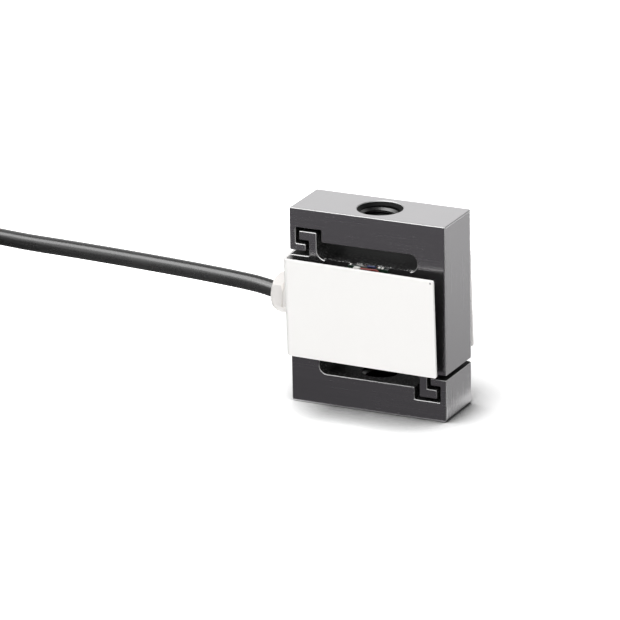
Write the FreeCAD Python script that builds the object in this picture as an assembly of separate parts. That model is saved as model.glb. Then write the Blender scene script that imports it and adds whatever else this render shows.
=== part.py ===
import FreeCAD, Part
import math
import os

# S type load cell. Millimetres, +Z up, X across the S, Y through it (front face towards -Y).
# The origin is where the axis of the two threaded holes meets the bottom face.

V = FreeCAD.Vector
X, Y, Z = V(1, 0, 0), V(0, 1, 0), V(0, 0, 1)

# ---- spring body ----
body_width = 50.8
body_depth = 19.05
body_height = 61.0
front_edge_round = 0.5
back_edge_round = 1.4
top_edge_round = 0.5
bottom_edge_round = 1.5
face_edge_round = 0.35

# ---- hooked slots, measured from the nearer side face and the nearer end face ----
outer_wall = 2.0
hook_tip_slot = 1.2
catch_length = 3.2          # from the outer wall's inner face
catch_tip_slot = 1.2
stem_width = 2.4
stem_slot = 1.7
pocket_depth = 6.0
hook_top_slot = 1.1
hook_thickness = 2.7
catch_slot = 1.3
catch_thickness = 2.1
side_gap = 1.5
end_bar = 9.85
beam_slot_height = 5.45
beam_slot_end_wall = 9.2    # from the slot's closed end to the far side face
beam_slot_end_round = 2.5
stem_root_round = 3.0
slot_corner_round = 0.35
slot_edge_break = 0.18

# ---- threaded holes M12 x 1.75, walls at the thread's major diameter ----
thread_diameter = 12.0
countersink_diameter = 14.3

# ---- sensing bores and the round recess on each face ----
bore_diameter = 20.0
bore_spacing = 18.0
recess_diameter = 41.2
recess_depth = 0.8

# ---- folded cover ----
cover_sheet = 1.0
cover_height = 30.9
cover_bend_round = 1.0      # inside the bend
cover_stand_off = 1.8       # from the body's faces to the sheet, at the bend
cover_flare_deg = 1.8       # each leg opens towards its free end
cover_free_margin = 1.8     # free ends stop this short of the body's right side
cover_lean_deg = 3.1        # turned about the gland
cover_rise = 0.5            # middle of the sheet above the gland's axis
cover_corner_round = 0.5

# ---- cable gland, on the left side at half height ----
gland_thread_diameter = 8.0
gland_thread_clearance = 0.05
gland_hex_flats = 11.0
gland_hex_turn_deg = 6.5
gland_hex_length = 2.8
gland_washer_thickness = 0.8
gland_washer_diameter = 10.4
gland_neck_diameter = 9.2
gland_neck_length = 2.9
gland_bore_clearance = 0.2
gland_cap_gap = 0.1
gland_cap_length = 4.2
gland_cap_lip = 1.0
gland_cap_mouth_diameter = 6.6
gland_cap_dome_length = 1.8
gland_cap_dome_diameter = 9.4
gland_seal_diameter = 7.6
cover_hole_clearance = 0.25

# ---- cable and its coil ----
cable_diameter = 5.2
cable_inner_end = 4.4       # from the body's left face to where the jacket stops
coil_center = (-161.0, -15.0)
coil_mean_diameter = 46.0
coil_columns = 3
coil_layers = 7
coil_meeting_deg = 80.0     # where the free run first touches the coil
coil_corner_round = 2.0
tie_thickness = 1.0
tie_width = 8.0
tie_angles_deg = (25.0, 310.0)
cable_end_angle_deg = 270.0  # where the far end leaves the coil
end_sleeve_length = 12.0
end_sleeve_wall = 0.5
free_core_diameter = 1.2

# ---- gauge circuit ----
gauge_length = 7.0
gauge_width = 5.0
gauge_thickness = 0.2
core_diameter = 1.1
core_pitch = 1.3
board_length = 13.0
board_height = 3.6
board_thickness = 0.6
board_drop = 0.5            # board's top edge below the slot floor
terminal_block_size = (2.0, 1.0, 1.6)
resistor_diameter = 1.6
resistor_length = 5.0
span_resistor_drop = 12.6    # below the middle of the block
jumper_r = 0.35
gauge_wire_diameter = 0.4

# ---- worked out ----
overshoot = 1.0             # how far cutting tools run past a face
half_w = body_width / 2
half_d = body_depth / 2
mid_z = body_height / 2
center = V(0, 0, mid_z)
cable_r = cable_diameter / 2
thread_r = thread_diameter / 2
bore_r = bore_diameter / 2
recess_floor = half_d - recess_depth
slot_floor_z = body_height - end_bar - beam_slot_height


def corner_arc(before, corner, after, radius):
    """First, middle and last point of the arc that rounds a corner."""
    back = (before - corner).normalize()
    ahead = (after - corner).normalize()
    half_angle = back.getAngle(ahead) / 2
    reach = radius / math.tan(half_angle)
    bisector = (back + ahead).normalize()
    middle = corner + bisector * (radius / math.sin(half_angle) - radius)
    return corner + back * reach, middle, corner + ahead * reach


def wire_through(points, radii, closed):
    """Straight edges between the points, with an arc at each point that has a radius."""
    stops = []
    for i, (point, radius) in enumerate(zip(points, radii)):
        if radius:
            stops.append(corner_arc(points[i - 1], point, points[(i + 1) % len(points)], radius))
        else:
            stops.append((point,))
    edges = []
    for i, stop in enumerate(stops):
        if len(stop) == 3:
            edges.append(Part.Arc(*stop).toShape())
        if i + 1 < len(stops) or closed:
            start, end = stop[-1], stops[(i + 1) % len(stops)][0]
            if start.distanceToPoint(end) > 1e-6:
                edges.append(Part.LineSegment(start, end).toShape())
    return Part.Wire(edges)


def face(outline, u_axis, v_axis, origin=V(0, 0, 0)):
    """Flat face from (u, v, corner radius) points."""
    points = [origin + u_axis * u + v_axis * v for u, v, _ in outline]
    return Part.Face(wire_through(points, [radius for _, _, radius in outline], True))


def rectangle(u_low, v_low, u_high, v_high, low_round, high_round):
    """Outline with one corner radius along its low v side and one along its high v side."""
    return [(u_low, v_low, low_round), (u_high, v_low, low_round),
            (u_high, v_high, high_round), (u_low, v_high, high_round)]


def turned(profile, end=V(0, 0, mid_z), axis=X):
    """Solid of revolution about the axis through end, from (along, radius) points."""
    side = axis.cross(Y) if abs(axis.dot(Y)) < 0.9 else axis.cross(Z)
    return face([(u, v, 0) for u, v in profile], axis, side, end).revolve(end, axis, 360)


def tube_route(points):
    """Straight runs joined by the largest tangent arcs that leave a tenth of each run straight."""
    radii = [0]
    for before, point, after in zip(points, points[1:], points[2:]):
        shorter = min(before.distanceToPoint(point), point.distanceToPoint(after))
        half_turn = (math.pi - (before - point).getAngle(after - point)) / 2
        radii.append(0.45 * shorter / math.tan(half_turn))
    return wire_through(points, radii + [0], False), radii[1:]


def tube(name, points, radius):
    """Round bar along a route; prints its tightest bend and how true its volume is."""
    route, bends = tube_route([V(*point) for point in points])
    start = V(*points[0])
    ring = Part.Wire(Part.makeCircle(radius, start, V(*points[1]) - start))
    solid = route.makePipeShell([ring], True, False)
    share = solid.Volume / (math.pi * radius ** 2 * route.Length)
    tightest = min(bends) if bends else 0
    print(f"{name}: length {route.Length:.1f}, tightest bend {tightest:.1f}, volume share {share:.4f}")
    return solid


# ---------------------------------------------------------------- spring body

def body_block():
    """The block with its vertical, end and face edges rounded by three crossing profiles."""
    plan = rectangle(-half_w, -half_d, half_w, half_d, front_edge_round, back_edge_round)
    front = rectangle(-half_w, 0, half_w, body_height, bottom_edge_round, top_edge_round)
    side = rectangle(-half_d, 0, half_d, body_height, face_edge_round, face_edge_round)
    block = face(plan, X, Y).extrude(Z * body_height)
    block = block.common(face(front, X, Z, Y * -half_d).extrude(Y * body_depth))
    return block.common(face(side, Y, Z, X * -half_w).extrude(X * body_width))


def hooked_slot_outline():
    """The upper slot, as distances in from the left side and down from the top.

    It comes in under the catch, goes round the hook on the end of the stem, and crosses the body."""
    hook_tip = outer_wall + hook_tip_slot
    catch_tip = outer_wall + catch_length
    stem_left = catch_tip + catch_tip_slot
    stem_right = stem_left + stem_width
    pocket_right = stem_right + stem_slot
    slot_end = body_width - beam_slot_end_wall
    slot_floor = end_bar + beam_slot_height
    hook_top = pocket_depth + hook_top_slot
    hook_under = hook_top + hook_thickness
    catch_near = hook_under + catch_slot
    catch_far = catch_near + catch_thickness
    gap_far = catch_far + side_gap
    small = slot_corner_round
    return [(-overshoot, catch_far, 0), (catch_tip, catch_far, small),
            (catch_tip, catch_near, small), (outer_wall, catch_near, small),
            (outer_wall, pocket_depth, small), (pocket_right, pocket_depth, small),
            (pocket_right, end_bar, small), (slot_end, end_bar, beam_slot_end_round),
            (slot_end, slot_floor, beam_slot_end_round), (stem_right, slot_floor, stem_root_round),
            (stem_right, hook_top, small), (hook_tip, hook_top, small),
            (hook_tip, hook_under, small), (stem_left, hook_under, small),
            (stem_left, gap_far, small), (-overshoot, gap_far, 0)]


def hooked_slots():
    """The upper slot, and the same slot turned half a turn for the lower one."""
    corner = V(-half_w, -half_d - overshoot, body_height)
    upper = face(hooked_slot_outline(), X, -Z, corner).extrude(Y * (body_depth + 2 * overshoot))
    lower = upper.copy()
    lower.rotate(center, Y, 180)
    return [upper, lower]


def break_slot_edges(body):
    """A fine chamfer where the slots come out of the front and back faces."""
    inside_w = half_w - back_edge_round - 0.01
    edges = []
    for edge in body.Edges:
        box = edge.BoundBox
        on_face = box.YLength < 1e-6 and abs(abs(box.YMin) - half_d) < 1e-6
        within = box.XMin > -inside_w and box.XMax < inside_w
        clear_of_ends = box.ZMin > bottom_edge_round and box.ZMax < body_height - bottom_edge_round
        if on_face and within and clear_of_ends:
            edges.append(edge)
    return body.makeChamfer(slot_edge_break, edges)


def threaded_hole(mouth, inward, length):
    """Countersunk hole, from its mouth to the end of its wall."""
    flare = (countersink_diameter - thread_diameter) / 2
    hole = Part.makeCylinder(thread_r, length + overshoot, mouth, inward)
    sink = Part.makeCone(countersink_diameter / 2, thread_r, flare, mouth, inward)
    return [hole, sink]


def sensing_bores():
    """Two bores through the middle block that leave four thin bending sections."""
    length = body_depth + 2 * overshoot
    side = bore_spacing / 2
    return [Part.makeCylinder(bore_r, length, V(x, -half_d - overshoot, mid_z), Y) for x in (-side, side)]


def face_recesses():
    """A shallow round recess on the front and back faces, where the wiring lies."""
    depth = recess_depth + overshoot
    radius = recess_diameter / 2
    return [Part.makeCylinder(radius, depth, V(0, -half_d - overshoot, mid_z), Y),
            Part.makeCylinder(radius, depth, V(0, recess_floor, mid_z), Y)]


def gland_hole():
    """Threaded hole from the left side into the nearer sensing bore."""
    length = half_w - bore_spacing / 2 + overshoot
    return [Part.makeCylinder(gland_thread_diameter / 2, length, V(-half_w - overshoot, 0, mid_z), X)]


def spring_body():
    body = body_block().cut(hooked_slots())
    body = break_slot_edges(body)
    holes = threaded_hole(V(0, 0, body_height), -Z, end_bar) + threaded_hole(V(0, 0, 0), Z, end_bar)
    return body.cut(holes + sensing_bores() + face_recesses() + gland_hole())


# ---------------------------------------------------------------- folded cover

def cover_strip_outline():
    """Plan of the folded sheet: front leg, left side, back leg, each leg opening by the flare."""
    flare = math.radians(cover_flare_deg)
    free_x = half_w - cover_free_margin
    bend_x = -half_w
    inner_bend_y = half_d + cover_stand_off
    inner_free_y = inner_bend_y + (free_x - bend_x) * math.tan(flare)
    across = cover_sheet / math.cos(flare)
    outer_bend_y = inner_bend_y + across - cover_sheet * math.tan(flare)
    outer_free_y = inner_free_y + across
    outer_round = cover_bend_round + cover_sheet
    edge_round = cover_sheet / 4
    front = [(bend_x - cover_sheet, -outer_bend_y, outer_round), (free_x, -outer_free_y, edge_round),
             (free_x, -inner_free_y, edge_round), (bend_x, -inner_bend_y, cover_bend_round)]
    back = [(x, -y, radius) for x, y, radius in reversed(front)]
    return front + back


def wrap_cover():
    low_z = mid_z + cover_rise - cover_height / 2
    sheet = face(cover_strip_outline(), X, Y, Z * low_z).extrude(Z * cover_height)
    free_x = half_w - cover_free_margin
    corners = [edge for edge in sheet.Edges if edge.BoundBox.ZLength < 1e-6]
    hole_r = gland_thread_diameter / 2 + cover_hole_clearance
    hole = Part.makeCylinder(hole_r, 2 * cover_bend_round + cover_sheet,
                             V(-half_w - cover_sheet - overshoot, 0, mid_z), X)
    trim = rectangle(-half_w - 2 * overshoot, low_z, free_x, low_z + cover_height, 0, 0)
    trim[1] = (free_x, low_z, cover_corner_round)
    trim[2] = (free_x, low_z + cover_height, cover_corner_round)
    reach = body_depth
    trimmed = sheet.common(face(trim, X, Z, Y * -reach).extrude(Y * 2 * reach)).cut(hole)
    trimmed.rotate(center, X, -cover_lean_deg)
    return trimmed


# ---------------------------------------------------------------- cable gland

washer_x = -half_w - cover_sheet
hex_x = washer_x - gland_washer_thickness
neck_x = hex_x - gland_hex_length
cap_x = neck_x - gland_cap_gap
mouth_x = cap_x - gland_cap_length
lip_x = mouth_x + gland_cap_lip
jacket_end_x = -half_w + cable_inner_end
seal_floor_x = neck_x - cover_sheet / 2
gland_bore_r = cable_r + gland_bore_clearance
seal_r = gland_seal_diameter / 2
hex_corner_r = gland_hex_flats / math.sqrt(3)


def hexagon(x_start, x_end):
    """Hexagonal bar along the gland's axis."""
    points = []
    for corner in range(7):
        angle = math.radians(30 + gland_hex_turn_deg + 60 * corner)
        offset = V(0, -math.cos(angle) * hex_corner_r, math.sin(angle) * hex_corner_r)
        points.append(V(x_start, 0, mid_z) + offset)
    return Part.Face(Part.makePolygon(points)).extrude(X * (x_end - x_start))


def gland_body():
    """Threaded spigot into the body, hexagon, and the neck that holds the seal."""
    thread_r_gland = gland_thread_diameter / 2 - gland_thread_clearance
    inner_x = jacket_end_x + 0.8
    chamfer = hex_corner_r - gland_hex_flats / 2
    barrel = turned([(inner_x, 0), (inner_x, thread_r_gland - 0.5), (inner_x - 0.5, thread_r_gland),
                     (hex_x, thread_r_gland), (hex_x, 0)])
    nut = hexagon(neck_x, hex_x).common(turned([
        (neck_x, 0), (neck_x, gland_hex_flats / 2), (neck_x + chamfer / 2, hex_corner_r),
        (hex_x - chamfer / 2, hex_corner_r), (hex_x, gland_hex_flats / 2), (hex_x, 0)]))
    neck_end = neck_x - gland_neck_length
    neck = Part.makeCylinder(gland_neck_diameter / 2, gland_neck_length, V(neck_end, 0, mid_z), X)
    bore = Part.makeCylinder(gland_bore_r, inner_x - neck_end, V(neck_end, 0, mid_z), X)
    pocket = Part.makeCylinder(seal_r, seal_floor_x - neck_end, V(neck_end, 0, mid_z), X)
    return barrel.fuse([nut, neck]).removeSplitter().cut([bore, pocket])


def gland_washer():
    hole_r = gland_thread_diameter / 2 + gland_thread_clearance
    return turned([(hex_x, hole_r), (hex_x, gland_washer_diameter / 2),
                   (washer_x, gland_washer_diameter / 2), (washer_x, hole_r)])


def gland_seal():
    """Rubber bush squeezed round the cable between the neck and the cap's lip."""
    return turned([(lip_x, cable_r), (lip_x, seal_r), (seal_floor_x, seal_r), (seal_floor_x, cable_r)])


def gland_cap():
    """Hexagon nut with a domed end and a round mouth for the cable."""
    dome_r = gland_cap_dome_diameter / 2
    shoulder_x = mouth_x + gland_cap_dome_length
    chamfer = (hex_corner_r - gland_hex_flats / 2) / 2
    swell = V((mouth_x + shoulder_x) / 2, 0, mid_z) + Z * ((dome_r + hex_corner_r) / 2 + 0.35)
    rim = V(mouth_x, 0, mid_z) + Z * dome_r
    shoulder = V(shoulder_x, 0, mid_z) + Z * hex_corner_r
    points = [shoulder, V(cap_x - chamfer, 0, shoulder.z), V(cap_x, 0, mid_z + gland_hex_flats / 2),
              V(cap_x, 0, mid_z), V(mouth_x, 0, mid_z), rim]
    edges = [Part.LineSegment(a, b).toShape() for a, b in zip(points, points[1:])]
    edges.append(Part.Arc(rim, swell, shoulder).toShape())
    dome = Part.Face(Part.Wire(edges)).revolve(center, X, 360)
    cavity_r = gland_neck_diameter / 2 + gland_thread_clearance
    cavity = Part.makeCylinder(cavity_r, cap_x - lip_x, V(lip_x, 0, mid_z), X)
    mouth = Part.makeCylinder(gland_cap_mouth_diameter / 2, gland_cap_lip, V(mouth_x, 0, mid_z), X)
    return hexagon(mouth_x, cap_x).common(dome).cut([cavity, mouth])


# ---------------------------------------------------------------- gauge circuit

def gauge(side, end):
    """Foil gauge bonded to the bore wall at one thin section; side and end are -1 or 1."""
    axis_point = V(side * bore_spacing / 2, 0, mid_z)
    spread = math.degrees(gauge_width / bore_r)
    foil_r = bore_r - gauge_thickness
    strip = face([(-gauge_length / 2, foil_r, 0), (gauge_length / 2, foil_r, 0),
                  (gauge_length / 2, bore_r, 0), (-gauge_length / 2, bore_r, 0)], Y, Z * end, axis_point)
    strip.rotate(axis_point, Y, -spread / 2)
    return strip.revolve(axis_point, Y, spread)


board_back_y = -recess_floor
board_front_y = board_back_y - board_thickness
board_top_z = slot_floor_z - board_drop
board_low_z = board_top_z - board_height
pad_thickness = 0.08
pad_z = board_low_z + 0.9
wire_y = board_front_y - pad_thickness - core_diameter / 2
first_pad_x = -1.5


def terminal_board():
    return Part.makeBox(board_length, board_thickness, board_height,
                        V(-board_length / 2, board_front_y, board_low_z))


def solder_pads():
    """Solder discs under the ends of the four cable cores."""
    return [Part.makeCylinder(core_diameter / 2, pad_thickness,
                              V(first_pad_x - i * core_pitch, board_front_y, pad_z), -Y) for i in range(4)]


def terminal_block():
    """White insulating block near the board's top edge."""
    width, depth, height = terminal_block_size
    block = Part.makeBox(width, depth, height, V(-4.3, board_front_y - depth, board_top_z - height))
    return block.makeFillet(0.2, [edge for edge in block.Edges if edge.BoundBox.YLength > depth / 2])


def lead(index):
    """One cable core from the jacket's inner end, through the bore and up to its pad."""
    z = mid_z + (index - 1.5) * core_pitch * 0.92
    x = first_pad_x - index * core_pitch
    return [(jacket_end_x, 0, z), (jacket_end_x + 4.5, 0, z), (x - 3.6, wire_y, z),
            (x, wire_y, z + 4.2), (x, wire_y, pad_z)]


def jumper_red():
    """Link across the upper part of the board."""
    z = board_top_z - 0.3
    y = board_front_y - jumper_r
    route = [(-2.1, y, z - 0.1), (0.4, y, z - 0.15), (3.0, y, z + 0.05), (3.7, y, z - 0.7)]
    return tube("jumper_red", route, jumper_r)


def jumper_blue():
    """Second link, lying along the board's top edge."""
    y = board_back_y - jumper_r
    z = board_top_z + jumper_r
    return tube("jumper_blue", [(-0.1, y, z), (1.2, y, z + 0.05), (2.5, y, z)], jumper_r)


def sealant_beads():
    """Drops of white sealant on the board's top edge."""
    beads = []
    for x, r in ((3.8, 0.4), (4.8, 0.35), (-5.6, 0.3)):
        beads.append(Part.makeSphere(r, V(x, board_back_y - r, board_top_z + r)))
    return beads


def resistor(x, y, z):
    """Wound resistor body with slightly larger ends, lying along X."""
    r = resistor_diameter / 2
    half, waist, cap = resistor_length / 2, r * 0.85, resistor_length / 5
    return turned([(-half, 0), (-half, r), (cap - half, r), (cap - half, waist), (half - cap, waist),
                   (half - cap, r), (half, r), (half, 0)], V(x, y, z))


def gauge_wires():
    """Fine wires from the gauges' front ends, out of the bores and up to the board."""
    r = gauge_wire_diameter / 2
    x = bore_spacing / 2
    y = board_front_y - r
    upper_z = mid_z + bore_r - gauge_thickness - r
    lower_z = 2 * mid_z - upper_z
    end_z = board_low_z + 0.8
    start_y = -gauge_length / 2
    routes = [
        [(-x, start_y, upper_z), (-x, y, upper_z), (-6.25, y, end_z)],
        [(x, start_y, upper_z), (x, y, upper_z), (6.25, y, end_z)],
        [(-x, start_y, lower_z), (-x, y, lower_z), (-x / 3, y, lower_z + bore_r / 2),
         (-0.2, y, lower_z + bore_r * 1.2), (-0.25, y, end_z)],
        [(x, start_y, lower_z), (x, y, lower_z), (x * 0.87, y, lower_z + bore_r * 0.9), (5.75, y, end_z)]]
    return [tube("gauge_wire", route, r) for route in routes]


# ---------------------------------------------------------------- signal cable

coil_r = coil_mean_diameter / 2
coil_width = coil_columns * cable_diameter
coil_height = coil_layers * cable_diameter
coil_low_z = tie_thickness
coil_top_z = coil_low_z + coil_height
coil_middle = V(coil_center[0], coil_center[1], 0)

coil_outer_r = coil_r + coil_width / 2
meeting_angle = math.radians(coil_meeting_deg)
meeting_ray = V(math.cos(meeting_angle), math.sin(meeting_angle), 0)
meeting_z = coil_low_z + (coil_layers - 1.5) * cable_diameter
meeting = coil_middle + meeting_ray * (coil_outer_r + cable_r + 0.1) + Z * meeting_z

# From the gland's seal the cable runs nearly level to the left, up to the coil's side.
cable_route = [(lip_x, 0, mid_z), (-39.5, 0, mid_z), (-48.0, 0.8, 31.9), (-60.0, 2.3, 32.4),
               (-82.0, 5.4, 32.2), (-112.0, 10.2, 31.2), (-138.0, 14.9, 30.3),
               (meeting.x, meeting.y, meeting.z)]


def cable_entry():
    """The jacketed cable inside the gland, from the seal's outer face to where the cores part."""
    return Part.makeCylinder(cable_r, jacket_end_x - lip_x, V(lip_x, 0, mid_z), X)


def coil_section(grow):
    """Rounded outline of the wound bundle, grown outwards, in the plane of X and Z."""
    return face(rectangle(coil_r - coil_width / 2 - grow, coil_low_z - grow, coil_outer_r + grow,
                          coil_top_z + grow, coil_corner_round + grow, coil_corner_round + grow),
                X, Z, coil_middle)


def cable_coil():
    return coil_section(0).revolve(coil_middle, Z, 360)


def coil_tie(angle_deg):
    """Strap round the bundle."""
    strap = coil_section(tie_thickness).cut(coil_section(0))
    spread = math.degrees(tie_width / coil_r)
    strap.rotate(coil_middle, Z, angle_deg - spread / 2)
    return strap.revolve(coil_middle, Z, spread)


# The far end leaves the coil's outer turn in a straight line along the floor.
end_angle = math.radians(cable_end_angle_deg)
end_ray = V(math.cos(end_angle), math.sin(end_angle), 0)
end_ahead = V(-math.sin(end_angle), math.cos(end_angle), 0)
end_sleeve_r = cable_r + end_sleeve_wall
end_turn_r = coil_outer_r - cable_r
end_start = math.sqrt(coil_outer_r ** 2 - (end_turn_r - end_sleeve_r) ** 2) + 0.2
end_line = coil_middle + end_ray * end_turn_r + Z * (end_sleeve_r + 0.05)


def cable_end_sleeve():
    """Shrink sleeve over the end of the jacket."""
    r = end_sleeve_r
    profile = [(0, 0), (0, r - 0.3), (0.3, r), (end_sleeve_length - 0.6, r), (end_sleeve_length, r - 0.6),
               (end_sleeve_length, 0)]
    return turned(profile, end_line + end_ahead * end_start, end_ahead)


# Each free core's place across the fan, and its angle round the bundle where it leaves the sleeve.
free_cores = {"red": (-2, 162), "black": (-1, 234), "screen": (0, 90), "green": (1, 306),
              "white": (2, 18)}
bundle_r = 1.3
free_core_r = free_core_diameter / 2
tip_length = 4.0


def core_points(offset, angle_deg):
    """One free core: straight out of the sleeve, then down to the floor and fanned out."""
    out = end_start + end_sleeve_length
    low_z = free_core_r + 0.05
    angle = math.radians(angle_deg)
    across, up = bundle_r * math.cos(angle), end_line.z + bundle_r * math.sin(angle)
    steps = [(0, across, up), (2, across, up), (6, across + 0.5 * offset, up * 0.4 + low_z * 0.6),
             (10, 1.6 * offset, low_z), (13, 2.1 * offset, low_z)]
    places = [end_line + end_ahead * (out + ahead) + end_ray * aside + Z * (z - end_line.z)
              for ahead, aside, z in steps]
    return [(place.x, place.y, place.z) for place in places]


def core_tips():
    """Tinned wire ends beyond the insulation."""
    tips = []
    for placing in free_cores.values():
        before, last = [V(*point) for point in core_points(*placing)[-2:]]
        tips.append(Part.makeCylinder(free_core_r * 0.7, tip_length, last, last - before))
    return tips


# ---------------------------------------------------------------- all the pieces

def pieces():
    lead_names = ("lead_white", "lead_green", "lead_black", "lead_red")
    made = {
        "spring_body": spring_body(),
        "wrap_cover": wrap_cover(),
        "gland_body": gland_body(),
        "gland_washer": gland_washer(),
        "gland_seal": gland_seal(),
        "gland_cap": gland_cap(),
        "terminal_board": terminal_board(),
        "solder_pads": solder_pads(),
        "terminal_block": terminal_block(),
        "balance_resistor": resistor(2.9, board_front_y - resistor_diameter / 2, board_low_z + 1.0),
        "span_resistor": resistor(0, board_back_y - resistor_diameter / 2, mid_z - span_resistor_drop),
        "jumper_red": jumper_red(),
        "jumper_blue": jumper_blue(),
        "sealant_beads": sealant_beads(),
        "gauge_wires": gauge_wires(),
        "cable_entry": cable_entry(),
        "signal_cable": tube("signal_cable", cable_route, cable_r),
        "cable_coil": cable_coil(),
        "cable_end_sleeve": cable_end_sleeve(),
        "core_tips": core_tips(),
    }
    for end, end_name in ((1, "upper"), (-1, "lower")):
        for side, side_name in ((-1, "left"), (1, "right")):
            made[f"gauge_{end_name}_{side_name}"] = gauge(side, end)
    for index, name in enumerate(lead_names):
        made[name] = tube(name, lead(index), core_diameter / 2)
    for number, angle in enumerate(tie_angles_deg, 1):
        made[f"coil_tie_{number}"] = coil_tie(angle)
    for colour, placing in free_cores.items():
        name = f"free_core_{colour}"
        made[name] = tube(name, core_points(*placing), free_core_r)
    return made


def write(name, shape):
    if isinstance(shape, list):
        shape = Part.makeCompound(shape)
    print(f"{name}: {len(shape.Solids)} solids, valid {shape.isValid()}, volume {shape.Volume:.2f}")
    shape.exportStep(f"parts/{name}.step")


os.makedirs("parts", exist_ok=True)
for piece_name, piece_shape in pieces().items():
    write(piece_name, piece_shape)
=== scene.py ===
# %% [markdown]
# # An S type load cell
# A load cell of this kind is one block of steel, slotted so that it bends a little when a rod pulls or
# pushes on its two threaded ends. A folded white sheet closes the middle, where the strain gauges sit, and
# a black cable leaves through a small gland. The CAD model gives every solid its size and place. This
# lesson gives them their finishes, and makes what CAD leaves plain or leaves to the scene: the whole line
# of the cable, the cover with its exact lean, and the ridges of the screw threads.

# %% [markdown]
# ## The frame
# Every solid of the CAD model is loaded at its place, one object for each node. The steel block is the
# piece that all the others sit on, so its box is measured first, and later steps take their sizes from it
# instead of repeating numbers.

# %% Load the frame
import math
import bpy
from mathutils import Matrix, Vector


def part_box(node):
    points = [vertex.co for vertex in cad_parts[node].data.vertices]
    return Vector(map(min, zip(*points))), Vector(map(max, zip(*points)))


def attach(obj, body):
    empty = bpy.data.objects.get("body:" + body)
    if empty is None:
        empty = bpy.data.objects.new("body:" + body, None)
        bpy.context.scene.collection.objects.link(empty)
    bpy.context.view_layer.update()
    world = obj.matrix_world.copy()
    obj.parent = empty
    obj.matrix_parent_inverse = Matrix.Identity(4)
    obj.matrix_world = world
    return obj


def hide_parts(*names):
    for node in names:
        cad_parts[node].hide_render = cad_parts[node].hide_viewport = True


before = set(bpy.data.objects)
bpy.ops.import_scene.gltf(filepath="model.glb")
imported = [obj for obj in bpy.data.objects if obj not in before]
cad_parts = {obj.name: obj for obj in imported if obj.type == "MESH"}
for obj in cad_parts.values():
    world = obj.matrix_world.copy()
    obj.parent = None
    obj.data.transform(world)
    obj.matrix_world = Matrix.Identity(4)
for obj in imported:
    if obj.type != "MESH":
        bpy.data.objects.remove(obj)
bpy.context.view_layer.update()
MM = 0.001
body_low, body_high = [Vector(corner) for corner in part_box("spring_body")]
middle = (body_low + body_high) / 2
half_w, half_d, height = [size / MM / k for size, k in zip(body_high - body_low, (2, 2, 1))]
print("block, mm:", [round(size / MM, 2) for size in body_high - body_low])

# %% [markdown]
# ## The camera
# A long lens far away shows a small part almost without perspective. The camera could be aimed with a
# constraint, but its angles are then hard to read. Here its three axes are worked out from azimuth,
# elevation and roll, and they make the columns of one matrix: right, up, and back towards the camera. It
# stands to the right of the front, a little above the block.

# %% Camera
azimuth, elevation, roll = [math.radians(angle) for angle in (25.602, 19.046, -0.901)]
distance = 1871.787 * MM
sideways, upwards = 21.206 * MM, 1.387 * MM
frame_widths = 10.139129  # focal length, in widths of the frame

to_camera = Vector((math.sin(azimuth) * math.cos(elevation), -math.cos(azimuth) * math.cos(elevation),
                    math.sin(elevation)))
level_right = Vector((0, 0, 1)).cross(to_camera).normalized()
level_up = to_camera.cross(level_right)
camera_right = level_right * math.cos(roll) + level_up * math.sin(roll)
camera_up = level_up * math.cos(roll) - level_right * math.sin(roll)

camera_data = bpy.data.cameras.new("camera")
camera_data.sensor_width = 36
camera_data.lens = camera_data.sensor_width * frame_widths
camera_data.clip_end = 50
camera = bpy.data.objects.new("camera", camera_data)
bpy.context.scene.collection.objects.link(camera)
eye = middle - camera_right * sideways - camera_up * upwards + to_camera * distance
turn = Matrix((camera_right, camera_up, to_camera)).transposed().to_4x4()
camera.matrix_world = Matrix.Translation(eye) @ turn
bpy.context.scene.camera = camera
bpy.context.scene.view_settings.view_transform = "Standard"
print("camera at, mm:", [round(c / MM, 1) for c in eye], "lens", round(camera_data.lens, 1))

# %% [markdown]
# ## The free run of the cable
# The cable is three metres of stiff round PVC. It leaves the gland straight, rises a little and runs almost
# level to the left. It could be a row of cylinders, or a tube swept in CAD, but one curve bends smoothly
# and keeps its thickness, so the whole cable is one NURBS line. Its first points are listed in
# millimetres, the closer together where it bends more.

# %% Free run of the cable
entry_low, entry_high = [Vector(corner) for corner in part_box("cable_entry")]
cable_d = entry_high.z - entry_low.z
cable_exit = Vector((entry_low.x, 0, middle.z))
free_run = [(-38.6, 0.1, 31.7), (-48.0, 0.8, 32.2), (-60.0, 2.3, 32.3), (-71.0, 3.8, 32.2),
            (-82.0, 5.4, 32.0), (-97.0, 7.7, 31.6), (-112.0, 10.2, 31.0), (-126.0, 12.6, 30.3),
            (-138.0, 14.9, 30.1), (-148.0, 16.7, 29.8)]
line = [cable_exit] + [Vector(point) * MM for point in free_run]
print("cable is", round(cable_d / MM, 2), "mm thick,", len(free_run), "points by hand")

# %% [markdown]
# ## The coil
# The rest of the cable is wound in a neat round coil that stands beside the block, tied twice. It has
# three columns of seven layers. A spiral would leave gaps between its turns or let them cut each other.
# Here each turn stays level at the radius of its column, except for one short step to the next, so every
# turn lies beside or on the last, as in a coil wound by hand.

# %% Columns and layers
coil_low, coil_high = [Vector(corner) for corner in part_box("cable_coil")]
coil_middle = (coil_low + coil_high) / 2
outer_r = (coil_high.x - coil_low.x) / 2 - cable_d / 2
middle_r, inner_r = outer_r - cable_d, outer_r - 2 * cable_d
levels = [coil_low.z + cable_d * (layer + 0.5) for layer in range(7)]
print("coil radii, mm:", [round(radius / MM, 2) for radius in (outer_r, middle_r, inner_r)])

# %% [markdown]
# Two helpers wind the line. The first adds points on an arc, and eases from one radius and height to the
# next so that a step has no corner. The second stacks whole turns in one column. A quadratic spline cuts
# inside its points, so they lie a little further out than the cable does.

# %% Winding helpers
step_angle = 15
spread = 8 / (6 + 2 * math.cos(math.radians(step_angle)))


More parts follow.
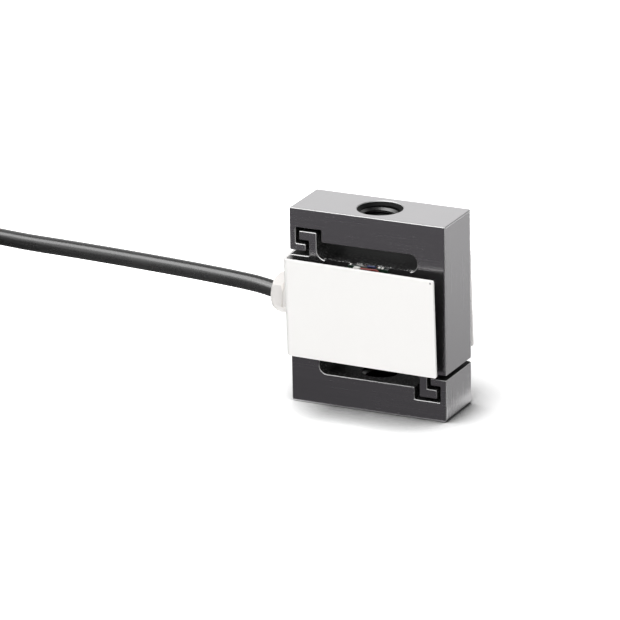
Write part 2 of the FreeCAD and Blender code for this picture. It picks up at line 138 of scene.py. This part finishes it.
def wind(start, end, radii, heights):
    """Adds points from one angle to another, in degrees, easing from one radius and height to the next."""
    steps = max(1, round((end - start) / step_angle))
    for step in range(1, steps + 1):
        share = step / steps
        ease = share * share * (3 - 2 * share)
        angle = math.radians(start + (end - start) * share)
        radius = (radii[0] + (radii[1] - radii[0]) * ease) * spread
        level = heights[0] + (heights[1] - heights[0]) * ease
        line.append(Vector((coil_middle.x + radius * math.cos(angle),
                            coil_middle.y + radius * math.sin(angle), level)))


def column(radius, visits, step_start, step_end, first, last):
    """Level turns at each height in turn, joined by steps between two angles of every turn."""
    for number, level in enumerate(visits):
        begin = first if number == 0 else step_end
        finish = last if number == len(visits) - 1 else step_start + 360
        if finish - begin > 360:
            finish -= 360
        wind(begin, finish, (radius, radius), (level, level))
        if number < len(visits) - 1:
            wind(step_start, step_end, (radius, radius), (level, visits[number + 1]))


print("one turn has", 360 // step_angle, "points")

# %% [markdown]
# The free run meets the coil from outside, just clear of it, and climbs on to the top layer. It goes round
# the top from the outer column to the inner one, then down the inner column, up the middle one and down the
# outer one, so that its end leaves at the bottom outside, where nothing lies on it.

# %% Winding the coil
meeting_r = outer_r + cable_d + 0.1 * MM
bottom, below_top, top = levels[0], levels[5], levels[6]
leave_deg = 270

wind(79, 130, (meeting_r, meeting_r), (below_top, top))
wind(130, 190, (meeting_r, outer_r), (top, top))
wind(190, 330, (outer_r, outer_r), (top, top))
wind(330, 400, (outer_r, middle_r), (top, top))
wind(40, 290, (middle_r, middle_r), (top, top))
wind(290, 360, (middle_r, inner_r), (top, top))
column(inner_r, levels[::-1], 180, 250, 0, 470)
wind(110, 180, (inner_r, middle_r), (bottom, bottom))
column(middle_r, levels[:6], 40, 110, 180, 330)
wind(330, 400, (middle_r, outer_r), (below_top, below_top))
column(outer_r, levels[5::-1], 260, 330, 40, leave_deg + 360)
print("line has", len(line), "points up to the end of the coil")

# %% [markdown]
# ## The end of the cable
# A shrink sleeve closes the jacket where its cores come out. The cable leaves the coil on a tangent and
# runs into the sleeve of the CAD model. Four points are enough, at shares of the way to the sleeve's
# middle, and the last one lies inside the sleeve, so the cut end doesn't show.

# %% End of the cable
sleeve_low, sleeve_high = [Vector(corner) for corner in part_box("cable_end_sleeve")]
sleeve_middle = (sleeve_low + sleeve_high) / 2
leave_angle = math.radians(leave_deg)
leave_point = Vector((coil_middle.x + outer_r * math.cos(leave_angle),
                      coil_middle.y + outer_r * math.sin(leave_angle), bottom))
ahead = Vector((-math.sin(leave_angle), math.cos(leave_angle), 0))
sleeve_reach = (sleeve_middle - leave_point).dot(ahead)
for share in (0.3, 0.65, 1.0, 1.3):
    place = leave_point + ahead * sleeve_reach * share
    place.z = bottom + (sleeve_middle.z - bottom) * min(share, 1)
    line.append(place)
print("sleeve lies", round(sleeve_reach / MM, 1), "mm from the coil")


# %% [markdown]
# ## Making the cable
# The spline gets its points first, and its order and end setting after them, because a new point resets
# them. Then the curve has a round bevel. The bevel is one metre and each point's radius scales it down to
# the cable, so that Blender measures the curve's box right. The length is taken on a copy that has no
# bevel yet.

# %% Cable curve
def new_spline(name, points, radius, sides):
    """A tube along one NURBS spline through given points, and its length."""
    data = bpy.data.curves.new(name, "CURVE")
    data.dimensions = "3D"
    spline = data.splines.new("NURBS")
    spline.points.add(len(points) - 1)
    for point, place in zip(spline.points, points):
        point.co = (*place, 1)
        point.radius = radius
    spline.order_u = 3
    spline.use_endpoint_u = True
    spline.resolution_u = 4
    curve = bpy.data.objects.new(name, data)
    bpy.context.scene.collection.objects.link(curve)
    bare = bpy.data.meshes.new_from_object(curve)
    length = sum((bare.vertices[edge.vertices[0]].co - bare.vertices[edge.vertices[1]].co).length
                 for edge in bare.edges)
    bpy.data.meshes.remove(bare)
    data.bevel_depth = 1.0
    data.bevel_resolution = sides
    data.use_fill_caps = True
    return curve, length


cable, cable_length = new_spline("cable", line, cable_d / 2, 5)
cable_parts = ["coil_tie_1", "coil_tie_2", "cable_end_sleeve", "core_tips"]
cable_parts += [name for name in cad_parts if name.startswith("free_core_")]
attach(cable, "root")
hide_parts("signal_cable", "cable_coil")
print("cable length, m:", round(cable_length, 3), "points:", len(line))


# %% [markdown]
# ## The stage
# A part in a catalogue lies on white paper that has no edge. A curved backdrop would do it too, but a floor
# far wider than the view is simpler, because the world behind it is as pale.

# %% Floor
def stage_plane(name, size, place, angles=(0, 0, 0)):
    """A flat sheet of the stage, given its two lengths in metres."""
    bpy.ops.object.select_all(action="DESELECT")
    bpy.ops.mesh.primitive_plane_add(size=1, location=place, rotation=angles)
    plane = bpy.context.object
    plane.name = name
    plane.scale = (*size, 1)
    return plane


floor = stage_plane("floor", (30, 30), (0, 0, 0))
print("floor, m:", tuple(floor.scale)[:2])


# %% [markdown]
# ## Writing shaders as sums
# A material is a graph of small nodes, and a graph is hard to read as code. The class below wraps one
# output, so that a mask can be written as `1 - mask * 0.5`. Each operator adds the Math node that it needs.

# %% One value of a graph
class Sum:
    """A value in a shader graph, on which ordinary arithmetic adds Math nodes."""

    def __init__(self, graph, socket):
        self.graph, self.socket = graph, socket

    def maths(self, operation, *others):
        return self.graph.node("Math", {"operation": operation}, self, *others)

    def __add__(self, other):
        return self.maths("ADD", other)

    def __sub__(self, other):
        return self.maths("SUBTRACT", other)

    def __rsub__(self, other):
        return self.graph.node("Math", {"operation": "SUBTRACT"}, other, self)

    def __mul__(self, other):
        return self.maths("MULTIPLY", other)

    def above(self, limit):
        return self.maths("GREATER_THAN", limit)

    def below(self, limit):
        return self.maths("LESS_THAN", limit)

    def size(self):
        return self.maths("ABSOLUTE")

    def root(self):
        return self.maths("SQRT")

    def ramp(self, low, high, out_low=0.0, out_high=1.0):
        """Straight rise from one value to another, held level outside them."""
        return self.graph.node("MapRange", {"clamp": True}, self, low, high, out_low, out_high)

    __radd__, __rmul__ = __add__, __mul__


# %% [markdown]
# The second class holds the graph itself, of a material or of the world. Any node comes from its one
# method `node`, which takes the node's type, its settings, and the values or links of its sockets.

# %% A graph of nodes
class Graph:
    """A node tree, and a short way to add nodes to it."""

    def __init__(self, tree):
        self.tree = tree

    def feed(self, socket, value):
        if isinstance(value, Sum):
            self.tree.links.new(value.socket, socket)
        else:
            socket.default_value = value

    def node(self, kind, settings, *values, out=0, **named):
        new = self.tree.nodes.new("ShaderNode" + kind)
        for setting, value in settings.items():
            setattr(new, setting, value)
        for socket, value in zip(new.inputs, values):
            self.feed(socket, value)
        for socket, value in named.items():
            self.feed(new.inputs[socket], value)
        return Sum(self, new.outputs[out])

    def parts(self, vector):
        """The three numbers of a vector."""
        return [Sum(self, socket) for socket in self.node("SeparateXYZ", {}, vector).socket.node.outputs]

    def position(self):
        return self.parts(self.node("NewGeometry", {}, out="Position"))

    def seen(self):
        """One for what the camera sees, straight or in a mirror or glass, and zero for other rays."""
        rays = self.node("LightPath", {}).socket.node.outputs
        straight, mirrored, through = [
            Sum(self, rays[f"Is {kind} Ray"]) for kind in ("Camera", "Glossy", "Transmission")]
        return straight + mirrored + through

    def blend(self, kind, share, first, second, sockets):
        mixer = self.tree.nodes.new("ShaderNodeMix")
        mixer.data_type = kind
        for index, value in zip(sockets, (share, first, second)):
            self.feed(mixer.inputs[index], value)
        return Sum(self, mixer.outputs[sockets[-1]])

    def mix(self, share, first, second):
        """Colour between two colours."""
        return self.blend("RGBA", share, first, second, (0, 6, 7, 2))

    def choose(self, share, first, second):
        """Number between two numbers."""
        return self.blend("FLOAT", share, first, second, (0, 2, 3, 0))


# %% [markdown]
# The last class is one material. Its constants go on the shader's own sockets, so that an export finds
# them. Patterns read the piece's own coordinates, in millimetres, so they stay on it wherever it is put.

# %% A material
class Paint(Graph):
    """One material with its Principled shader."""

    def __init__(self, name, **constants):
        self.material = bpy.data.materials.new(name)
        self.material.use_nodes = True
        super().__init__(self.material.node_tree)
        self.shader = self.tree.nodes["Principled BSDF"]
        for socket, value in constants.items():
            self.set(socket, value)

    def set(self, socket, value):
        self.feed(self.shader.inputs[socket.replace("_", " ")], value)

    def place(self):
        """Object coordinates, and their three parts in millimetres."""
        spot = self.node("TexCoord", {}, out="Object")
        return spot, [part * (1 / MM) for part in self.parts(spot)]

    def facing(self):
        """The three parts of the surface's true normal."""
        return self.parts(self.node("NewGeometry", {}, out="True Normal"))

    def spot_of(self, x, y, z):
        return self.node("CombineXYZ", {}, x, y, z)

    def noise(self, spot, scale, detail=2.0, roughness=0.5):
        return self.node("TexNoise", {}, Vector=spot, Scale=scale, Detail=detail, Roughness=roughness)

    def bump(self, relief, strength, distance_mm, under=None):
        extra = {"Normal": under} if under else {}
        return self.node("Bump", {}, Height=relief, Strength=strength, Distance=distance_mm * MM, **extra)

    def on(self, *objects):
        for thing in objects:
            thing.data.materials.clear()
            thing.data.materials.append(self.material)


def grey(value):
    return (value, value, value, 1)


# %% [markdown]
# ## White paper
# Lit paper of an honest colour comes out pale grey, and more light would burn out the white cover. So the
# paper is white through what rays ask of it: for the camera and for mirrors it glows a little by itself,
# and far from the block it glows fully. The shade under the block could come from the lamp alone, but a
# big lamp leaves it faint. How much open sky each point of the paper sees deepens it close to the block.
# It is weaker on the side of the cable, where the paper lies open.

# %% Paper
paper = Paint("paper", Roughness=1.0, Specular_IOR_Level=0.0, Emission_Strength=1.0)
seen = paper.seen()
floor_x, floor_y, _ = paper.position()
from_block = (floor_x * floor_x + floor_y * floor_y).root()
shade_ends, all_white = 0.07, 0.1
far = from_block.ramp(shade_ends, all_white)
reach = floor_x.ramp(-0.036, -0.012, 0.25, 1.0) * floor_x.ramp(0.026, 0.034, 1.0, 0.7)
open_sky = paper.node("AmbientOcclusion", {"samples": 6}, Distance=24 * MM, out="AO")
deepest_shade = 0.94
contact = 1 - open_sky.ramp(0.5, 1.0, deepest_shade, 0.0) * reach * (1 - far)
glow = paper.choose(far, contact * 0.34, 1.0)
paper.set("Base_Color", paper.mix(seen, grey(0.8), paper.mix(contact, grey(0.0), grey(1.0))))
paper.set("Emission_Color", paper.mix(seen * glow, grey(0.0), grey(1.0)))
paper.on(floor)
print("paper: shade ends", shade_ends, "m from the block")

# %% [markdown]
# ## The world
# A world of one grey would light the block evenly and look dull in its metal. This one lights surfaces
# gently, and is white where the camera and the mirrors look. High up it turns dark for them, as a studio
# ceiling does, so the ground faces keep their own tone.

# %% World
world = bpy.data.worlds.new("world")
world.use_nodes = True
bpy.context.scene.world = world
sky = Graph(world.node_tree)
fill_light, white_room, dark_ceiling = 0.42, 0.93, 0.12
upward = sky.parts(sky.node("TexCoord", {}, out="Generated"))[2]
mirrored_room = upward.ramp(0.45, 0.75, white_room, dark_ceiling)
background = world.node_tree.nodes["Background"]
sky.feed(background.inputs["Color"], grey(1.0))
sky.feed(background.inputs["Strength"], sky.seen().ramp(0.0, 1.0, fill_light, mirrored_room))
print("world: fill light", fill_light)

# %% [markdown]
# ## The lamp
# One big soft light stands in front and above, so the shadow falls a little behind and has a soft edge. A
# spot or the sun would draw a hard one.

# %% Front softbox
lamp_data = bpy.data.lights.new("front softbox", "AREA")
lamp_data.shape = "RECTANGLE"
lamp_data.size, lamp_data.size_y = 1.4, 1.3
lamp_data.energy = 20
softbox = bpy.data.objects.new("front softbox", lamp_data)
bpy.context.scene.collection.objects.link(softbox)
softbox.location = (0.05, -0.75, 1.15)
softbox.rotation_euler = (middle - softbox.location).to_track_quat("-Z", "Y").to_euler()
print("softbox:", lamp_data.energy, "W")


# %% [markdown]
# ## The cards
# Polished steel has hardly a colour of its own: it shows what it mirrors. A studio puts cards around such
# a piece, and so does this scene. A white one above on the left draws the light line along the cable.
# Black ones on the left make the front faces dark, and a grey one on the floor behind on the right is what
# the side face mirrors. A card's grey may change with its depth, which gives a face a soft gradient. Only
# glossy rays see the cards, so they throw no light or shadow on the rest.

# %% Cards
def card(name, near, far, size, place, angles=(0, 0, 0), depths=(0, 100), tint=(1, 1, 1)):
    """A card for mirrors alone, from one grey to another between two depths in millimetres."""
    sheet = stage_plane(name, size, place, angles)
    tone = Paint(name, Base_Color=grey(0.0), Roughness=1.0, Specular_IOR_Level=0.0, Emission_Strength=1.0)
    depth = tone.position()[1].size() * (1 / MM)
    shades = [tuple(shade * channel for channel in tint) + (1,) for shade in (near, far)]
    tone.set("Emission_Color", tone.mix(depth.ramp(*depths), *shades))
    tone.on(sheet)
    for ray in ("camera", "diffuse", "transmission", "shadow", "volume_scatter"):
        setattr(sheet, "visible_" + ray, False)


just_above_floor = 0.0004
upright = (math.pi / 2, 0, 0)
slanted = (math.radians(-32), math.radians(-20), 0)
faint_violet = (1.05, 1.0, 1.08)
card("white card", 4.0, 4.0, (0.9, 1.5), (-0.56, -0.55, 1.0), slanted)
card("black card floor", 0.070, 0.105, (0.75, 0.6), (-0.2, -0.31, just_above_floor),
     depths=(15, 170), tint=faint_violet)
card("black card upright", 0.1, 0.1, (0.9, 0.3), (-0.25, -0.6, 0.15), upright)
card("black card left", 0.12, 0.12, (0.4, 0.35), (-0.25, 0.165, just_above_floor))
card("grey card floor", 0.36, 0.52, (0.6, 0.6), (0.33, 0.3, just_above_floor), depths=(10, 150))

# %% [markdown]
# ## Nickel plated steel
# The block is ground on every side, which leaves fine straight scratches, and is then plated with nickel.
# Inside the slots and bores the cut steel is dark and grainy, and painted shade makes it near black. Two
# materials would need the block's faces sorted by hand. One does both here: masks tell how a face lies,
# and how deep a point is under the faces.

# %% Masks of the block
steel = Paint("plated_steel", Specular_IOR_Level=0.15)
spot, (px, py, pz) = steel.place()
nx, ny, nz = steel.facing()
on_front, on_side, on_top = ny.size().above(0.6), nx.size().above(0.6), nz.size().above(0.6)
flats = nx.size().above(0.93) + ny.size().above(0.93) + nz.size().above(0.93)

rise = pz - height / 2
under_faces, recess_half, recess_depth = 0.22, 15.3, 0.72
cut_half = half_d - 0.205 - rise.size().below(recess_half) * recess_depth
inside = (py.size().below(cut_half) * px.size().below(half_w - under_faces)
          * rise.size().below(height / 2 - under_faces))
print("cut steel starts", under_faces, "mm under the faces")

# %% [markdown]
# Scratches are noise that is stretched along the stroke of the grinding wheel: across the front, up the
# sides and along the top. A wide layer gives the tone, a fine one gives a few bright hairlines, and slow
# clouds change the gloss. The broken edges are paler and duller than the flats.

# %% Ground and plated faces
along = px * on_front + pz * on_side + px * on_top
across = pz * on_front + py * on_side + py * on_top
scratches = steel.noise(steel.spot_of(along * 0.035, across * 2.6, nx), 1.0, 3.0, 0.75)
hairlines = steel.noise(steel.spot_of(along * 0.09, across * 9.0, ny), 1.0, 2.0, 0.6)
clouds = steel.noise(spot, 60.0, 2.0, 0.5)
plate = steel.mix(scratches, (0.565, 0.556, 0.567, 1), (0.625, 0.616, 0.627, 1))
plate = steel.mix(hairlines.ramp(0.62, 0.8) * 0.08, plate, grey(0.8))
plate = steel.mix(flats, grey(0.4), plate)
polish = 0.24 + (scratches - 0.5) * 0.18 + (clouds - 0.5) * 0.08
worn = steel.choose(flats, 0.5, polish)
lines = steel.bump(scratches * 0.6 + hairlines * 0.4, 0.07, 0.02)
print("plated faces:", len(steel.tree.nodes), "nodes so far")

# %% [markdown]
# The cut steel is dark with pale grit. Its near black is partly painted shade, and towards the back of the
# slots it is painted blacker still, as the shade deep inside. On the lip of the upper slot, above the cover,
# stick a few crumbs of dried sealant. They are too small to be worth a mesh, so they are spots of noise
# kept to that lip.

# %% Cut steel with painted shade, and crumbs
lip_z, lip_y, lip_half = 45.6, -7.4, 14.5
grain = steel.noise(spot, 1500.0, 2.0, 0.7)
# Dark cut steel with pale grit, made near black partly as painted shade
cut = steel.mix(grain.ramp(0.5, 0.7), grey(0.003), grey(0.09))
# Painted shade: blacker towards the back of the slots
cut = steel.mix(py.ramp(-6.5, 2.0), cut, grey(0.001))
on_lip = (pz - lip_z).size().below(0.4) * py.below(lip_y) * px.size().below(lip_half)
crumbs = steel.noise(spot, 1500.0, 3.0, 0.7).ramp(0.56, 0.62) * on_lip
cut = steel.mix(crumbs, cut, grey(0.6))

steel.set("Base_Color", steel.mix(inside, plate, cut))
steel.set("Roughness", steel.choose(inside, worn, 0.62))
steel.set("Metallic", 1 - inside * 0.85)
steel.set("Normal", steel.bump(grain * inside, 0.5, 0.12, lines))
steel.on(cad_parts["spring_body"])
print("plated_steel:", len(steel.tree.nodes), "nodes")


# %% [markdown]
# ## The folded cover
# The cover is one strip of sheet steel, bent twice to a U round the left side of the block. Its legs open
# a little towards their free ends, and it leans about the gland's axis. It could be three boxes, but then
# the bends would be sharp. Folding a flat sheet gives them as the press does. Two helpers are needed: one
# selects corners or edges by their place, and one applies a modifier.

# %% Modelling helpers
def choose(thing, kind, test):
    """Edit mode with only the corners, or edges, that pass a test on the places of their ends, in mm."""
    bpy.ops.object.mode_set(mode="EDIT")
    bpy.ops.mesh.select_mode(type=kind)
    bpy.ops.mesh.select_all(action="DESELECT")
    bpy.ops.object.mode_set(mode="OBJECT")
    corners = thing.data.vertices
    for part in corners if kind == "VERT" else thing.data.edges:
        ends = [part.index] if kind == "VERT" else part.vertices
        part.select = test(*[corners[index].co / MM for index in ends])
    bpy.ops.object.mode_set(mode="EDIT")


def apply_modifier(thing, name, kind, **settings):
    modifier = thing.modifiers.new(name, kind)
    for setting, value in settings.items():
        setattr(modifier, setting, value)
    bpy.ops.object.modifier_apply(modifier=name)


sheet, cover_h, stand_off = 1.0, 30.9, 1.8
flare, lean = math.radians(1.8), math.radians(3.1)
bend_x, free_x = -half_w - sheet, half_w - 1.8
bend_y = half_d + stand_off + sheet
open_by = (free_x - bend_x) * math.tan(flare)
print("cover: legs", round(free_x - bend_x, 1), "mm long, opened by", round(open_by, 2), "mm")

# %% [markdown]
# The sheet starts as a plane that stands on the left side. Its two upright edges are extruded to the right
# as the legs. The edges that they leave behind are bevelled with many segments, which makes them bends,
# and the corners of the free ends are cut by a small bevel.

# %% Folding the sheet
bpy.ops.object.select_all(action="DESELECT")
bpy.ops.mesh.primitive_plane_add(size=MM, rotation=(0, math.pi / 2, 0))
cover = bpy.context.object
cover.name = "folded_cover"
cover.scale = (cover_h, 2 * bend_y, 1)
cover.location = (bend_x * MM, 0, 0.5 * MM)
bpy.ops.object.transform_apply(location=True, rotation=True, scale=True)

at_bend = bend_x + 0.1
for side in (-1, 1):
    choose(cover, "VERT", lambda place: place.y * side > bend_y - 0.1 and place.x < at_bend)
    bpy.ops.mesh.extrude_edges_move(
        TRANSFORM_OT_translate={"value": ((free_x - bend_x) * MM, side * open_by * MM, 0)})
choose(cover, "EDGE", lambda low, high: max(low.x, high.x) < at_bend and abs(low.z - high.z) > 1)
bend_r, corner_cut = 2.0, 0.5
bpy.ops.mesh.bevel(offset=bend_r * MM, segments=10, affect="EDGES")
choose(cover, "VERT", lambda place: place.x > free_x - 0.1)
bpy.ops.mesh.bevel(offset=corner_cut * MM, segments=3, affect="VERTICES")
bpy.ops.mesh.select_all(action="SELECT")
bpy.ops.mesh.normals_make_consistent(inside=False)
bpy.ops.object.mode_set(mode="OBJECT")
side_face = min(cover.data.polygons, key=lambda face: face.center.x)
if side_face.normal.x > 0:
    cover.data.flip_normals()
print("flat sheet:", len(cover.data.polygons), "faces")

# %% [markdown]
# Then the sheet gets its thickness, on the inside. The hole for the gland is punched by a cylinder, and a
# narrow bevel breaks the sharp edges, so that the enamel catches the light on them. Last it is leaned, and
# its place goes into its mesh, as with the CAD solids.

# %% Thickness, hole and edges
hole_r, soft_edge = 4.3, 0.16
apply_modifier(cover, "thickness", "SOLIDIFY", thickness=sheet * MM, offset=-1, use_even_offset=True)
bpy.ops.mesh.primitive_cylinder_add(radius=hole_r * MM, depth=6 * MM, vertices=64,
                                    rotation=(0, math.pi / 2, 0), location=(bend_x * MM, 0, 0))
punch = bpy.context.object
bpy.ops.object.select_all(action="DESELECT")
cover.select_set(True)
bpy.context.view_layer.objects.active = cover
apply_modifier(cover, "gland hole", "BOOLEAN", object=punch, operation="DIFFERENCE", solver="EXACT")
bpy.data.objects.remove(punch)
apply_modifier(cover, "soft edges", "BEVEL", width=soft_edge * MM, segments=3, limit_method="ANGLE",
               angle_limit=math.radians(40), harden_normals=False)
cover.rotation_euler.x = lean
cover.location.z = middle.z
bpy.ops.object.transform_apply(location=True, rotation=True, scale=True)
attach(cover, "root")
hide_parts("wrap_cover")
print("cover:", len(cover.data.polygons), "faces")

# %% [markdown]
# ## Enamel
# The cover is sprayed off-white and baked. Such a coat is smooth but not flat: it has a very fine orange
# peel, and its tone changes a little over the sheet. The inner side is coloured near black and rough,
# except near the free end of the back leg. One small chip sits by the upper right corner of the front.

# %% Enamel of the cover
enamel = Paint("off_white_enamel", Roughness=0.38, Coat_Weight=0.25, Coat_Roughness=0.1)
spot, (px, py, pz) = enamel.place()
nx, ny, nz = enamel.facing()
back_end = py.above(0.0) * px.above(free_x - 4)
# The inner side is coloured near black and rough, except near the free end of the back leg.
inner_side = (py * ny).below(-2.0) * (1 - back_end)
haze = enamel.noise(spot, 45.0, 3.0, 0.5)
orange_peel = enamel.noise(spot, 1400.0, 2.0, 0.5)
white = enamel.mix(haze, (0.878, 0.868, 0.85, 1), (0.9, 0.893, 0.878, 1))
chip_x, chip_z = 22.7, 44.9
from_chip = ((px - chip_x) * (px - chip_x) + (pz - chip_z) * (pz - chip_z)).root()
chip = (from_chip + haze * 0.3).ramp(0.55, 0.35) * py.below(0.0)
white = enamel.mix(chip, white, grey(0.3))
enamel.set("Base_Color", enamel.mix(inner_side, white, grey(0.01)))
enamel.set("Roughness", 0.32 + haze * 0.1 + inner_side * 0.6)
enamel.set("Normal", enamel.bump(orange_peel, 0.05, 0.03))
enamel.on(cover)
print("off_white_enamel:", len(enamel.tree.nodes), "nodes")

# %% [markdown]
# ## The gland
# The gland is turned from brass and has a bright nickel plate. Turning leaves faint rings round its axis.
# An image could give them, but noise that reads the distance from the axis and the place along it is
# rings already. In this pale room a full metal would mirror the dark ceiling too, so it is made less of one.

# %% Bright nickel
nickel = Paint("bright_nickel", Metallic=0.3)
spot, (px, py, pz) = nickel.place()
rise = pz - height / 2
from_axis = (py * py + rise * rise).root()
rings = nickel.noise(nickel.spot_of(px * 4.0, from_axis * 4.0, 0.0), 1.0, 2.0, 0.6)
smears = nickel.noise(spot, 500.0, 2.0, 0.5)
nickel.set("Base_Color", nickel.mix(smears, (0.90, 0.875, 0.85, 1), (0.95, 0.925, 0.90, 1)))
nickel.set("Roughness", 0.24 + rings * 0.12)
nickel.set("Normal", nickel.bump(rings, 0.12, 0.02))
nickel.on(*[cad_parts[name] for name in ("gland_body", "gland_washer", "gland_cap")])
print("bright_nickel:", len(nickel.tree.nodes), "nodes")

# %% [markdown]
# ## The cable's jacket
# The jacket is smooth black PVC: dark, with a clear light line along it. Plain black would look like a
# cut-out, so its tone and gloss change slowly and its surface has a very fine grain. The black core has
# the same finish.

# %% Jacket
jacket = Paint("black_jacket", Specular_IOR_Level=1.0)
spot, _ = jacket.place()
dull = jacket.noise(spot, 120.0, 3.0, 0.5)
fine = jacket.noise(spot, 900.0, 2.0, 0.5)
jacket.set("Base_Color", jacket.mix(dull, grey(0.022), grey(0.034)))
jacket.set("Roughness", 0.22 + dull * 0.1)
jacket.set("Normal", jacket.bump(fine, 0.06, 0.04))
jacket.on(cable, *[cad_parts[name] for name in ("cable_entry", "lead_black", "free_core_black")])
print("black_jacket:", len(jacket.tree.nodes), "nodes")


# %% [markdown]
# ## The small parts
# Behind the cover are the board, its solder, the resistors, the gauges and the coloured cores, and at the
# coil the ties and the sleeve. Only glimpses of them show, so one recipe serves them all: a colour that is
# lighter and darker in small spots, with a gloss and a relief that follow the same spots.

# %% Finish of a small part
def speckled(name, colour, roughness, spread=0.12, metal=0.0):
    """A finish whose colour and gloss vary a little from place to place."""
    finish = Paint(name, Metallic=metal)
    spots = finish.noise(finish.place()[0], 700.0, 3.0, 0.55)
    darker = tuple(channel * (1 - spread) for channel in colour) + (1,)
    lighter = tuple(min(1.0, channel * (1 + spread)) for channel in colour) + (1,)
    finish.set("Base_Color", finish.mix(spots, darker, lighter))
    finish.set("Roughness", roughness + (spots - 0.5) * 0.15)
    finish.set("Normal", finish.bump(spots, 0.05, 0.04))
    return finish


finishes = [
    (speckled("seal_rubber", (0.02, 0.02, 0.02), 0.7), ["gland_seal"]),
    (speckled("strap_nylon", (0.03, 0.03, 0.03), 0.5), ["coil_tie_1", "coil_tie_2"]),
    (speckled("shrink_sleeve", (0.022, 0.022, 0.022), 0.45), ["cable_end_sleeve"]),
    (speckled("green_board", (0.006, 0.02, 0.012), 0.35), ["terminal_board"]),
    (speckled("solder", (0.75, 0.74, 0.72), 0.25, metal=1.0), ["solder_pads", "core_tips"]),
    (speckled("white_insulation", (0.8, 0.79, 0.76), 0.4),
     ["terminal_block", "sealant_beads", "lead_white", "free_core_white"]),
    (speckled("brown_resin", (0.16, 0.075, 0.035), 0.3), ["balance_resistor", "span_resistor"]),
    (speckled("red_insulation", (0.16, 0.015, 0.01), 0.35), ["jumper_red", "lead_red", "free_core_red"]),
    (speckled("blue_insulation", (0.006, 0.014, 0.07), 0.35), ["jumper_blue"]),
    (speckled("green_insulation", (0.02, 0.2, 0.05), 0.35), ["lead_green", "free_core_green"]),
    (speckled("copper_wire", (0.7, 0.33, 0.18), 0.3, metal=1.0), ["gauge_wires", "free_core_screen"]),
    (speckled("amber_film", (0.45, 0.26, 0.06), 0.4),
     ["gauge_upper_left", "gauge_upper_right", "gauge_lower_left", "gauge_lower_right"]),
]
for finish, names in finishes:
    finish.on(*[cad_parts[name] for name in names])
print("small finishes:", len(finishes))

# %% [markdown]
# ## Screw threads
# The CAD holes are plain cylinders as wide as the thread's outside. A bump in the material would look flat
# in a hole that is seen at a slant, and cutting a helix from the block is slow. So only the ridge between
# two turns of the M12 thread is made, a blunt wedge that stands inwards. A plane gets the shape of that
# wedge: its inner edge is narrowed, and its face is deleted, so that its outline is left. The Screw
# modifier sweeps the outline round and up, and the two open ends are filled.

# %% Threads
thread_r, pitch, turns = 6.0, 1.75, 4
ridge_depth, into_wall = 0.86, 0.03
root_width, crest_width = 0.92 * pitch, 0.2 * pitch
steps_per_turn = 48


def thread_ridge(name, start_z):
    """A helical ridge inside a hole, whose first turn starts at a height in metres."""
    outer, inner = (thread_r + into_wall) * MM, (thread_r - ridge_depth) * MM
    bpy.ops.object.select_all(action="DESELECT")
    bpy.ops.mesh.primitive_plane_add(size=1, rotation=(math.pi / 2, 0, 0))
    ridge = bpy.context.object
    ridge.name = ridge.data.name = name
    ridge.scale = (outer - inner, root_width * MM, 1)
    ridge.location = ((outer + inner) / 2, 0, start_z)
    bpy.ops.object.transform_apply(location=True, rotation=True, scale=True)
    choose(ridge, "VERT", lambda place: place.x < thread_r - ridge_depth / 2)
    bpy.ops.transform.resize(value=(1, 1, crest_width / root_width), center_override=(inner, 0, start_z))
    bpy.ops.mesh.select_all(action="SELECT")
    bpy.ops.mesh.delete(type="ONLY_FACE")
    bpy.ops.object.mode_set(mode="OBJECT")
    apply_modifier(ridge, "screw", "SCREW", screw_offset=pitch * MM, iterations=turns,
                   steps=steps_per_turn, render_steps=steps_per_turn,
                   use_smooth_shade=False, use_merge_vertices=True)
    bpy.ops.object.mode_set(mode="EDIT")
    bpy.ops.mesh.select_all(action="SELECT")
    bpy.ops.mesh.remove_doubles(threshold=1e-7)
    bpy.ops.mesh.select_all(action="DESELECT")
    bpy.ops.mesh.select_non_manifold(extend=False)
    bpy.ops.mesh.edge_face_add()
    bpy.ops.mesh.select_all(action="SELECT")
    bpy.ops.mesh.normals_make_consistent(inside=False)
    bpy.ops.object.mode_set(mode="OBJECT")
    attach(ridge, "root")
    return ridge


# The thread ridges are dark cut steel, painted near black as the shade inside the bores.
thread_steel_painted_shade = speckled("thread_steel_painted_shade", (0.1, 0.1, 0.1), 0.3, metal=1.0, spread=0.3)
lowest_turn = {"top_thread_ridge": body_high.z - 9.2 * MM, "bottom_thread_ridge": body_low.z + 1.2 * MM}
for name, low in lowest_turn.items():
    ridge = thread_ridge(name, low + pitch / 2 * MM)
    thread_steel_painted_shade.on(ridge)
    print(name, len(ridge.data.polygons), "faces")

# %% [markdown]
# ## A last check
# Before the end it is worth asking whether anything was left without a finish.

# %% Check and finish
for name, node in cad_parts.items():
    assert node.data.materials, name
